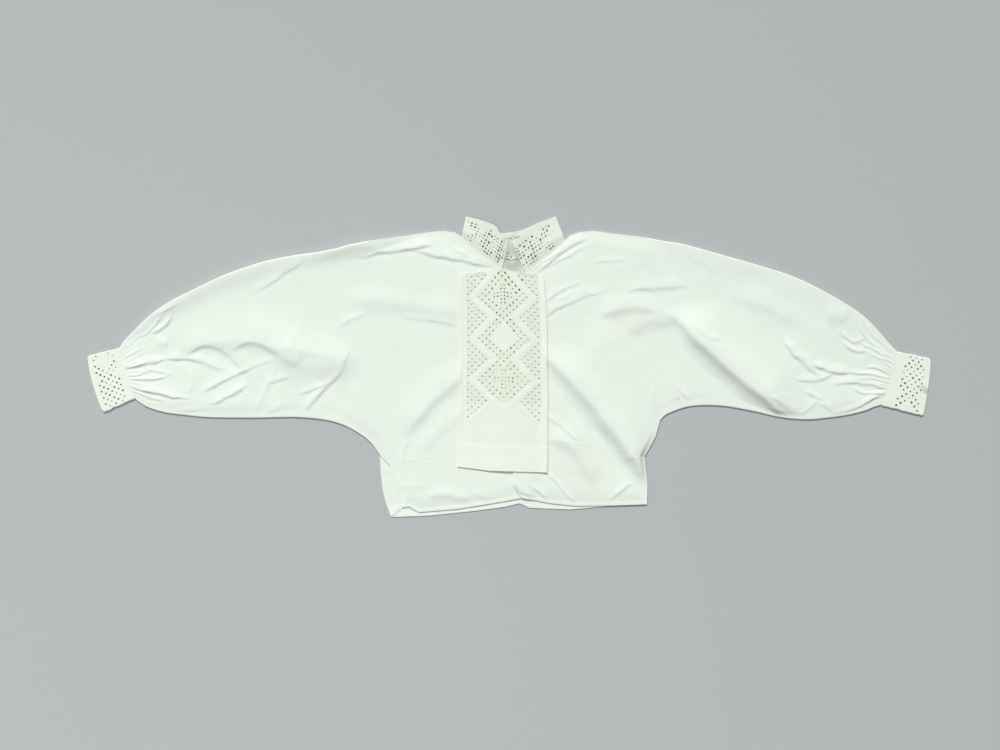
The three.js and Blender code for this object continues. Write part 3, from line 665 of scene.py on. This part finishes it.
def make_sleeve(name, rows, bow, gathers):
    sections = catmull(rows, even(SLEEVE_STATIONS))
    direction = np.sign(sections[-1, 0] - sections[0, 0])
    sections[0, [0, 2]] += SEAM * direction
    sections[-1, [0, 2]] -= SEAM * direction
    middle = (sections[:, :2] + sections[:, 2:]) / 2
    left = np.hypot(*(middle - middle[-1]).T)
    bows = bow * (1 - smooth(np.hypot(*(middle - middle[0]).T) / BOW_FADE))
    v = even(SLEEVE_UPPER)
    x = sections[:, :1] * (1 - v) + sections[:, 2:3] * v + bow_bend(bows[:, None], v)
    y = sections[:, 1:2] * (1 - v) + sections[:, 3:] * v
    height = relief(x, y) * (0.5 + 0.5 * smooth(left / CUFF_PRESS))[:, None]
    height += np.array([gather_height(v, gap, gathers) for gap in left])
    tops = FRONT_REST + WALL + height + seam_dip(x, y, [list(zip(x[0], y[0]))])
    rings = np.array([sleeve_ring(*row) for row in zip(sections, bows, tops)])
    return shell(name, rings[:, 0], rings[:, 1], wrap=True)


# ---- cutwork ----
STEP = 6.05  # of the cutwork lattice
HOLE = 3.4  # side of a cut hole
BAR = STEP - HOLE
PLAIN = 0  # kind of a diamond: rings of holes round a plain middle
FILLED = 1  # holes all over its middle


def lattice(steps, start, end, margin_cells):
    """Grid lines along one side of a cutwork piece, and the lattice place of each cell.

    Each step has two cells over the hole and two over the bar beside it. A cell's place is a whole
    number over a hole, a half number over a bar, and NaN in the plain margins.
    """
    lines = list(np.linspace(0, start, margin_cells + 1))
    places = [math.nan] * margin_cells
    for k in range(steps):
        bars = ((HOLE, k),) if k == steps - 1 else ((HOLE, k), (BAR, k + 0.5))
        for width, place in bars:
            lines += [lines[-1] + width / 2, lines[-1] + width]
            places += [place, place]
    lines += list(lines[-1] + np.linspace(0, end, margin_cells + 1)[1:])
    places += [math.nan] * margin_cells
    lines = np.array(lines)
    return lines / lines[-1], np.array(places), (lines - start - HOLE / 2) / STEP


def whole(i, k):
    return (i == np.floor(i)) & (k == np.floor(k))


def diamond_band(across, along_band, diamonds, dense=False):
    """Holes of a band of diamonds: rings at lattice distances 4 and 6, and 0 and 2 where filled.

    A dense band has the places between these rings cut too.
    """
    hole = np.zeros(across.shape, bool)
    gaps = np.array([np.abs(along_band - centre) for centre, _ in diamonds])
    nearest = np.argmin(np.nan_to_num(gaps, nan=99), axis=0)
    for n, (centre, kind) in enumerate(diamonds):
        distance = np.abs(across) + np.abs(along_band - centre)
        ring = ((distance % 2 == 0) | dense) & (distance <= 6)
        if kind == PLAIN:
            ring &= distance >= 4
        hole |= whole(across, along_band) & ring & ((nearest == n) | (gaps[n] == 5))
    return hole


def panel_diamond(across, down, star):
    """Holes of one diamond of the panel: rings at distances 5 and 7, and an upright cross."""
    ring = np.abs(across) + np.abs(down)
    hole = whole(across, down) & ((ring == 5) | (ring == 7)) & (down >= -6) & (down <= 5)
    if star:
        low = np.minimum(np.abs(across), np.abs(down))
        high = np.maximum(np.abs(across), np.abs(down))
        half = (across != np.floor(across)) & (down != np.floor(down))
        hole |= half & (low == 0.5) & (high <= 2.5)
    return hole


PANEL_DIAMONDS = ((0, True), (12, False), (24, True))
PANEL_TRIANGLES = (-6, 6, 18, 30)
SATIN_DIAMONDS = (0, 12, 24, 36)
STITCHED_DIAMOND = 36  # worked like the others, with nothing cut


def panel_pattern(i, k):
    """Cut holes of the front panel at lattice column i (0 to 20) and row k (0 at the first diamond)."""
    hole = np.zeros(i.shape, bool)
    side = np.minimum(i, 20 - i)
    for centre in PANEL_TRIANGLES:
        down = np.abs(k - centre)
        hole |= whole(i, k) & (down <= 5 - side) & ((side + down) % 2 == 1) & (k < 35.5)
    for centre, star in PANEL_DIAMONDS:
        hole |= panel_diamond(i - 10, k - centre, star)
    return hole


def panel_mesh(gx, gy):
    """Share of loose, thread-like net at a place of the panel: 1 in the cutwork, 0 in satin."""
    across, side = np.abs(gx - 10), np.minimum(gx, 20 - gx)
    mesh = np.zeros(gx.shape)
    for centre in PANEL_TRIANGLES:
        mesh = np.maximum(mesh, smooth((6.2 - side - np.abs(gy - centre)) / 0.8) * (side > -0.6))
    for centre, star in PANEL_DIAMONDS:
        ring = across + np.abs(gy - centre)
        inner = 1 if star else smooth((ring - 4) / 0.8)
        mesh = np.maximum(mesh, smooth((8.1 - ring) / 0.8) * inner)
    return mesh * smooth((31 - gy) / 0.8)


CORNER_PULL = np.array([[0.16, 0, 0.16], [0, 0, 0], [0.16, 0, 0.16]])


def draw_in(x, y, keep, seed, pulls, closing=None):
    """Pulls each hole's rim in unevenly, as thread does, and rounds its corners.

    pulls are the least and the most. closing says how much more it is round each point.
    """
    rng = np.random.default_rng(seed)
    hole = ~keep
    starts = hole.copy()
    starts[1:] &= ~hole[:-1]
    starts[:, 1:] &= ~hole[:, :-1]
    for row, column in zip(*np.nonzero(starts)):
        block = np.s_[row:row + 3, column:column + 3]
        centre = row + 1, column + 1
        centre_x, centre_y = x[centre], y[centre]
        pull = rng.uniform(*pulls) + CORNER_PULL
        if closing is not None:
            pull = pull + closing[centre]
        x[block] += (centre_x - x[block]) * pull
        y[block] += (centre_y - y[block]) * pull


def open_holes(outer, inner, keep, seed, pulls):
    """Draws in the holes of a curved piece, through both its walls."""
    before = outer[..., :2].copy()
    draw_in(outer[..., 0], outer[..., 1], keep, seed, pulls)
    inner[..., :2] += outer[..., :2] - before


def thread_height(shape, seed, height):
    """Small unevenness of the worked threads, one value a point."""
    return np.random.default_rng(seed).uniform(-height, height, shape)


def panel_relief(gx, gy):
    """Satin bars, the stitched diamond without holes, the border line and the hem."""
    across = gx - 10
    height = np.zeros(gx.shape)
    for centre in SATIN_DIAMONDS:
        ring = np.abs(across) + np.abs(gy - centre)
        height = np.maximum(height, 0.26 * smooth((1.25 - np.abs(ring - 9.1)) / 0.8))
    height *= (gx > -0.4) & (gx < 20.4) & (gy > -6.4) & (gy < 41)
    low = np.abs(across) + np.abs(gy - STITCHED_DIAMOND)
    stitches = 0.5 + 0.5 * np.cos(math.pi * gx) * np.cos(math.pi * gy)
    height += 0.14 * stitches * ((np.abs(low - 6) < 1.7) | (low < 3)) * (gy < 41.5)
    height -= 0.35 * (bell((gx + 1.1) / 0.22) + bell((gx - 21.1) / 0.22))
    return height + 0.35 * smooth((gy - 42.5) / 0.25) - 0.25 * bell((gy - 42.3) / 0.25)


PANEL_COLUMNS = (21, 14.0, 13.0, 8)  # lattice steps, margins in millimetres and their cells
PANEL_ROWS = (43, 5.5, 82.5, 24)
FIRST_DIAMOND = 6  # lattice row of the first diamond's centre
CLOSING = 0.24  # how much further the holes along the panel's middle are drawn in
CLOSING_X = -14
CLOSING_REACH = 24
CLOSING_TOP = 112  # Y below which they are
SIDE_RISE = 1.5  # of the panel over the folds at its right side, and at its lower end
END_RISE = 0.6
NET_THREADS = 0.24  # unevenness of the loose threads


def make_panel():
    us, columns, gx = lattice(*PANEL_COLUMNS)
    vs, rows, gy = lattice(*PANEL_ROWS)
    x, y = patch(PANEL, us, vs)
    keep = ~panel_pattern(*np.meshgrid(columns, rows - FIRST_DIAMOND))
    closing = CLOSING * bell((x - CLOSING_X) / CLOSING_REACH) * smooth((CLOSING_TOP - y) / 16)
    draw_in(x, y, keep, 11, (-0.12, 0.34), closing)
    bottom = FRONT_REST + WALL + relief(x, y) + panel_lift(x) + PANEL_GAP
    bottom += SIDE_RISE * smooth((x - 48) / 18) + END_RISE * smooth((-150 - y) / 26)
    gx, gy = np.meshgrid(gx, gy - FIRST_DIAMOND)
    # net shapes the loose threads and marks where the material paints their shade
    net = panel_mesh(gx, gy)
    top = bottom + PANEL_CLOTH + panel_relief(gx, gy)
    top += thread_height(x.shape, 12, NET_THREADS) * net + thread_height(x.shape, 13, 0.03)
    return shell("front_panel", grid3(x, y, top), grid3(x, y, bottom), keep, net=net)


# ---- cuffs ----
CUFF_COLUMNS = 7
CUFF_ROWS = 17
CUFFS = {
    "cuff_left": {
        "rows": CUFF_LEFT, "margins": (13.5, 9.5), "first_row": 1, "corners": (2.5, 7.5),
        "diamonds": ((3, PLAIN), (13, FILLED)), "bulge": 3.4, "pulls": (-0.16, 0.42),
    },
    "cuff_right": {
        "rows": CUFF_RIGHT, "margins": (20.5, 10.5), "first_row": 2, "corners": (3.0, 2.5),
        "diamonds": ((-2, PLAIN), (8, FILLED), (18, PLAIN)), "bulge": 1.8, "pulls": (-0.22, 0.38),
    },
}


def soften_edges(sections, corners, seed):
    """Rounds a cuff's free corners, top and bottom, and makes its two edges slightly wavy."""
    depth = np.hypot(*(sections[:, :2] - sections[0, :2]).T)
    span = sections[:, 2:] - sections[:, :2]
    direction = span / np.hypot(*span.T)[:, None]
    edge_rows = ((np.s_[:, :2], 1, corners[0], 27.0), (np.s_[:, 2:], -1, corners[1], 90.0))
    for columns, sign, radius, ripple_row in edge_rows:
        near = np.clip(1 - (depth[-1] - depth) / radius, 0, 1)
        drawn = radius * (1 - np.sqrt(1 - near**2))
        wave = ripple(depth, np.full(depth.shape, ripple_row), seed, 3.6, 0.7)
        shift = drawn + wave * smooth(depth / 6)
        sections[columns] += sign * direction * shift[:, None]


def make_cuff(name, rows, margins, diamonds, first_row, corners, bulge, pulls):
    """A cuff: a flat ring with the same cutwork on both its layers."""
    depth_lines, depth_places, _ = lattice(CUFF_COLUMNS, *margins, 6)
    face_lines, face_places, _ = lattice(CUFF_ROWS - first_row + 1, 1.6, 3.4, 2)
    sections = catmull(rows, depth_lines)
    direction = np.sign(sections[-1, 0] - sections[0, 0])
    sections[0, [0, 2]] += SEAM * direction
    soften_edges(sections, corners, len(name) + 40)
    across, down = np.meshgrid(depth_places - 3, face_places + first_row, indexing="ij")
    hole = diamond_band(across, down, diamonds)
    turn = np.zeros((len(depth_places), NOSE_STEPS + 1), bool)
    keep = ~np.concatenate([hole, turn, hole[:, ::-1], turn], axis=1)
    bulges = bulge * direction * depth_lines**2
    rings = np.array([cuff_ring(*row, face_lines) for row in zip(sections, bulges)])
    outer, inner = rings[:, 0], rings[:, 1]
    face = np.s_[:, :len(face_lines)]
    open_holes(outer[face], inner[face], ~hole, len(name) + first_row, pulls)
    outer[face][..., 2] += thread_height(outer[face].shape[:2], 21, 0.2)
    return shell(name, outer, inner, keep, wrap=True)


def cuff_ring(section, bulge, shares):
    """Outer and inner loop of a cuff at one section: the face, a turn, the underside, a turn."""
    def point(v, z):
        return grid3(*section_line(section, v, bulge * 4 * v * (1 - v)), z)

    tip = CUFF_NOSE / math.hypot(section[0] - section[2], section[1] - section[3])
    middle = CUFF_TOP / 2
    face = tip + (1 - 2 * tip) * shares
    loops = []
    for shrink in (0.0, CUFF_CLOTH):
        half = middle - shrink
        curve = tip * (1 - shrink / CUFF_NOSE) * np.sin(NOSE_ANGLES)
        loops.append(np.concatenate([
            point(face, CUFF_TOP - shrink),
            point(1 - tip + curve, middle + half * np.cos(NOSE_ANGLES)),
            point(face[::-1], shrink),
            point(tip - curve, middle - half * np.cos(NOSE_ANGLES)),
        ]))
    return loops


# ---- collar ----
TURN_STEPS = 8  # round each side of the neck
COLLAR_DIAMONDS = (
    (4, FILLED), (14, PLAIN), (21, FILLED), (29, PLAIN), (37, FILLED), (45, PLAIN), (55, FILLED),
)


def wing_height(lines, share):
    """Heights of a wing across its width, at a share of its length from its front end."""
    return WING_LOW + (WING_HIGH - WING_LOW) * smooth(lines / 0.26) * smooth((share - 0.03) / 0.18)


def back_rise(x, y):
    """How far the cloth stands up inside the neck, on both sides of the collar's seam."""
    return 2.0 * bell((x - 6) / 9) * bell((y - 187) / 11)


def collar_stations(lines):
    """The band's sections from its left front end round the back to its right front end.

    Each has its seam and free edge points, how far it is pushed sideways, its middle heights, its
    outward normal in (x, z), and its lattice place, which is NaN where it turns over at a side.
    """
    lower = np.full(lines.shape, COLLAR_WALL / 2)
    stations = []

    def lay(part, steps, normal_z, first_place):
        shares, places, _ = lattice(steps, 3.0, 1.5, 3)
        seams = along(COLLAR_SEAMS[part], shares)
        frees = catmull(np.array(COLLAR_FREE[part], float), shares)
        for n, share in enumerate(shares):
            from_front = {"left": share, "right": 1 - share}.get(part)
            height = lower if from_front is None else wing_height(lines, from_front)
            place = places[n] + first_place if n < len(places) else math.nan
            stations.append(((*seams[n], *frees[n]), 0.0, height, (0.0, normal_z), place))

    def turn(side):
        section = stations[-1][0]
        upper = wing_height(lines, 1.0)
        radius = (upper - lower) / 2
        for step in range(1, TURN_STEPS):
            angle = math.pi * step / TURN_STEPS - side * math.pi / 2
            normal = (math.cos(angle), math.sin(angle))
            height = upper - radius + radius * normal[1]
            stations.append((section, radius * normal[0], height, normal, math.nan))

    lay("left", 14, 1.0, 0)
    turn(-1)
    lay("back", 30, -1.0, 14)
    turn(1)
    lay("right", 14, 1.0, 44)
    return stations


def collar_relief(width):
    """Relief across the collar, width millimetres up from its seam: stitched edges and a hem."""
    free = COLLAR_WIDTH - width
    stitched = -0.42 * bell((free - 8.2) / 0.9) - 0.3 * bell((free - 4.4) / 0.7)
    return stitched + 0.3 * smooth((7.4 - free) / 1.2) + 0.12 * np.sin(width / 1.9)


def make_collar():
    lines, rows, _ = lattice(CUFF_COLUMNS, 3.5, 10.5, 6)
    stations = collar_stations(lines)
    bumps = collar_relief(lines * COLLAR_WIDTH)
    half = COLLAR_WALL / 2
    outer, inner = [], []
    for n, (section, side, height, normal, _) in enumerate(stations):
        x, y = section_line(section, COLLAR_GAP + (1 - COLLAR_GAP) * lines, side)
        sway = bumps * (0.8 + 0.4 * math.sin(n * 0.21))
        lift = half + np.maximum(sway, -half * 0.8)
        if normal[1] < 0:
            lift = half + np.minimum(lift - half, 0) * -normal[1]
            lines_up = smooth((lines - 0.68) / 0.2) * bell((x - 4) / 10)
            height = height + (2.2 * lines_up + back_rise(x, y)) * -normal[1] ** 3
        outer.append(grid3(x + normal[0] * lift, y, height + normal[1] * lift))
        inner.append(grid3(x - normal[0] * half, y, height - normal[1] * half))
    outer, inner = np.array(outer), np.array(inner)
    places = np.array([station[4] for station in stations])[:-1]
    s, w = np.meshgrid(places, rows, indexing="ij")
    keep = ~diamond_band(w - 3, s, COLLAR_DIAMONDS, dense=True)
    open_holes(outer, inner, keep, 31, (-0.25, 0.72))
    return shell("collar", outer, inner, keep)


# ---- materials ----
NET_PAINTED_SHADE = (0.945, 0.945, 0.925)  # painted shade of the net: its threads and holes shade it darker than satin stitch


def fill(node, inputs):
    """Sets a node's inputs, or links them where another node's output is given."""
    for key, value in inputs.items():
        if isinstance(value, bpy.types.NodeSocket):
            node.id_data.links.new(value, node.inputs[key])
        else:
            node.inputs[key].default_value = value


def add(nodes, kind, inputs, output, **properties):
    """Adds a node, sets it up and returns one of its outputs."""
    node = nodes.new(kind)
    for key, value in properties.items():
        setattr(node, key, value)
    fill(node, inputs)
    return node.outputs[output]


def mix(nodes, factor, first, second, blend="MIX"):
    """Mixes two colours by a factor from another node."""
    inputs = {"Factor": factor, "A": first, "B": (*second, 1)}
    return add(nodes, "ShaderNodeMix", inputs, "Result", data_type="RGBA", blend_type=blend)


def new_material(name, inputs):
    """A material with these uniform values on its shader."""
    material = bpy.data.materials.new(name)
    material.use_nodes = True
    fill(material.node_tree.nodes["Principled BSDF"], inputs)
    return material


def weave(nodes, place, size, depth):
    """Crossed threads as bump, from their size and depth in millimetres."""
    scale = 1 / (size * MM) / 20 * math.pi
    waves = {"Vector": place, "Scale": scale, "Distortion": 0.6, "Detail": 1.0}
    threads = {
        k: add(nodes, "ShaderNodeTexWave", waves, "Fac", bands_direction=axis)
        for k, axis in enumerate("XY")
    }
    both = add(nodes, "ShaderNodeMath", threads, 0, operation="ADD")
    bump = {"Strength": 0.35, "Distance": depth * MM, "Height": both}
    return add(nodes, "ShaderNodeBump", bump, "Normal")


def linen_material(name, colour, tint, weave_size, weave_depth):
    """Plain-woven linen: crossed threads, a slight unevenness of tone, painted shade over the cutwork's
    net, and stains and painted shade at set places.
    """
    material = new_material(name, {
        "Roughness": 0.88, "Specular IOR Level": 0.25, "Sheen Weight": 0.18, "Sheen Roughness": 0.5,
    })
    nodes = material.node_tree.nodes
    place = add(nodes, "ShaderNodeTexCoord", {}, "Object")
    patches = {"Vector": place, "Scale": 9.0, "Detail": 3.0}
    patchy = add(nodes, "ShaderNodeTexNoise", patches, "Fac")
    tone = mix(nodes, patchy, (*colour, 1), tint)
    # painted shade: the cutwork's net is darkened for the shade among its threads and holes
    net_shade_share = add(nodes, "ShaderNodeAttribute", {}, "Fac", attribute_name="net")
    tone = mix(nodes, net_shade_share, tone, NET_PAINTED_SHADE, "MULTIPLY")
    # real stains, and painted shade round and inside the neck
    for spot in STAINS_AND_PAINTED_SHADE:
        tone = add_stain_or_painted_shade(nodes, place, tone, *spot)
    threads = weave(nodes, place, weave_size, weave_depth)
    fill(nodes["Principled BSDF"], {"Base Color": tone, "Normal": threads})
    return material


def add_stain_or_painted_shade(nodes, place, base, centre, radius, colour, strength, flatness=1):
    """Mixes a soft stain, or a soft spot of painted shade, into the colour, at a place in millimetres.

    The higher its flatness, the thinner the layer of cloth that it reaches through.
    """
    kind = "ShaderNodeVectorMath"
    flattened = add(nodes, kind, {0: place, 1: (1, 1, flatness)}, "Vector", operation="MULTIPLY")
    middle = [c * MM for c in (*centre[:2], centre[2] * flatness)]
    distance = add(nodes, kind, {0: flattened, 1: middle}, "Value", operation="DISTANCE")
    fade = {
        "Value": distance, "From Min": radius * MM, "From Max": radius * MM * 0.25,
        "To Max": strength,
    }
    reach = add(nodes, "ShaderNodeMapRange", fade, "Result", interpolation_type="SMOOTHSTEP")
    return mix(nodes, reach, base, colour)


# ---- camera, light and floor ----
VIEW_WIDTH = 1750  # of floor that the picture shows
VIEW_CENTRE = (-15.75, -14.0)
LENS = 50.0
SENSOR = 36.0
KEY_ANGLES = (100, 40)  # the main light's azimuth, from +X towards +Y, and its elevation
FILL_PLACE = (-1.4, -0.9, 2.6)
FLOOR_HALF = 30.0
FLOOR_DROP = 0.0002
FLOOR_LOOK = {
    "Base Color": (0.46, 0.47, 0.48, 1), "Roughness": 0.95, "Specular IOR Level": 0.1,
}


def make_camera():
    data = bpy.data.cameras.new("camera")
    data.lens = LENS
    data.sensor_width = SENSOR
    camera = put("camera", data)
    height = VIEW_WIDTH * LENS / SENSOR
    camera.location = (VIEW_CENTRE[0] * MM, VIEW_CENTRE[1] * MM, height * MM)
    bpy.context.scene.camera = camera


def add_lamp(name, kind, place, **values):
    """A lamp at a place in metres, aimed at the middle of the shirt."""
    data = bpy.data.lights.new(name, kind)
    for key, value in values.items():
        setattr(data, key, value)
    lamp = put(name, data)
    lamp.location = place
    lamp.rotation_mode = "QUATERNION"
    lamp.rotation_quaternion = (-Vector(place)).to_track_quat("-Z", "Y")


def make_floor():
    mesh = bpy.data.meshes.new("floor")
    corners = [(a * FLOOR_HALF, b * FLOOR_HALF, 0) for a, b in ((-1, -1), (1, -1), (1, 1), (-1, 1))]
    mesh.from_pydata(corners, [], [(0, 1, 2, 3)])
    mesh.materials.append(new_material("floor_plain", FLOOR_LOOK))
    floor = put("floor", mesh)
    floor.location.z = -FLOOR_DROP


def make_studio():
    a, e = map(math.radians, KEY_ANGLES)
    towards = Vector((math.cos(a) * math.cos(e), math.sin(a) * math.cos(e), math.sin(e)))
    key = {"energy": 3.15, "angle": math.radians(14), "color": (1.0, 1.0, 0.985)}
    add_lamp("key", "SUN", towards * 3, **key)
    soft = {"energy": 17.5, "shape": "DISK", "size": 2.2, "color": (0.98, 1.0, 1.0)}
    add_lamp("fill", "AREA", FILL_PLACE, **soft)
    world = bpy.data.worlds.new("studio")
    world.use_nodes = True
    fill(world.node_tree.nodes["Background"], {"Color": (0.95, 1.0, 1.0, 1), "Strength": 0.26})
    bpy.context.scene.world = world
    bpy.context.scene.view_settings.view_transform = "Standard"
    make_floor()


# ---- assembly ----
STAINS_AND_PAINTED_SHADE = [  # real stains, and painted shade round and inside the neck: place, radius, colour, strength, flatness
    ((729, -42, 3), 8.5, (0.46, 0.40, 0.34), 0.62),
    ((722, -37, 3), 9, (0.56, 0.54, 0.44), 0.55),
    ((295.3, -55, 4), 2.6, (0.35, 0.36, 0.36), 0.8),
    ((274.6, -68.4, 4), 2.2, (0.35, 0.36, 0.36), 0.8),
    ((128, -188, 4), 52, (0.74, 0.74, 0.62), 0.22),
    ((216, 86, 4), 38, (0.76, 0.75, 0.66), 0.2),
    # darker and greener round the neck and collar: partly soil, partly painted shade of the collar
    ((2, 232, 4), 105, (0.58, 0.63, 0.53), 0.26),
    # painted shade inside the neck, where the collar's wings shade the back and the collar's back part
    ((6, 190, 1.2), 40, (0.42, 0.47, 0.38), 0.75, 20),
]


def cloth_piece(piece, node, material):
    """Hands a finished cloth piece to the frame."""
    piece.data.materials.append(material)
    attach(piece, "root")
    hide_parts(node)


def make_shirt():
    linen = linen_material("body_linen", (0.80, 0.86, 0.78), (0.76, 0.82, 0.745), 0.62, 0.05)
    trim = linen_material("whitework_linen", (0.83, 0.865, 0.77), (0.79, 0.825, 0.72), 0.8, 0.09)
    made = {name: make_flat_piece(name, spec) for name, spec in FLAT_PIECES.items()}
    made |= {name: make_sleeve(name, *spec) for name, spec in SLEEVES.items()}
    made |= {name: make_cuff(name, **spec) for name, spec in CUFFS.items()}
    made["collar"] = make_collar()
    made["front_panel"] = make_panel()
    for node, piece in made.items():
        trimmed = node in (*CUFFS, "collar", "front_panel")
        slot, material = ("whitework_linen", trim) if trimmed else ("body_linen", linen)
        cloth_piece(piece, node, material)


make_camera()
make_studio()
make_shirt()
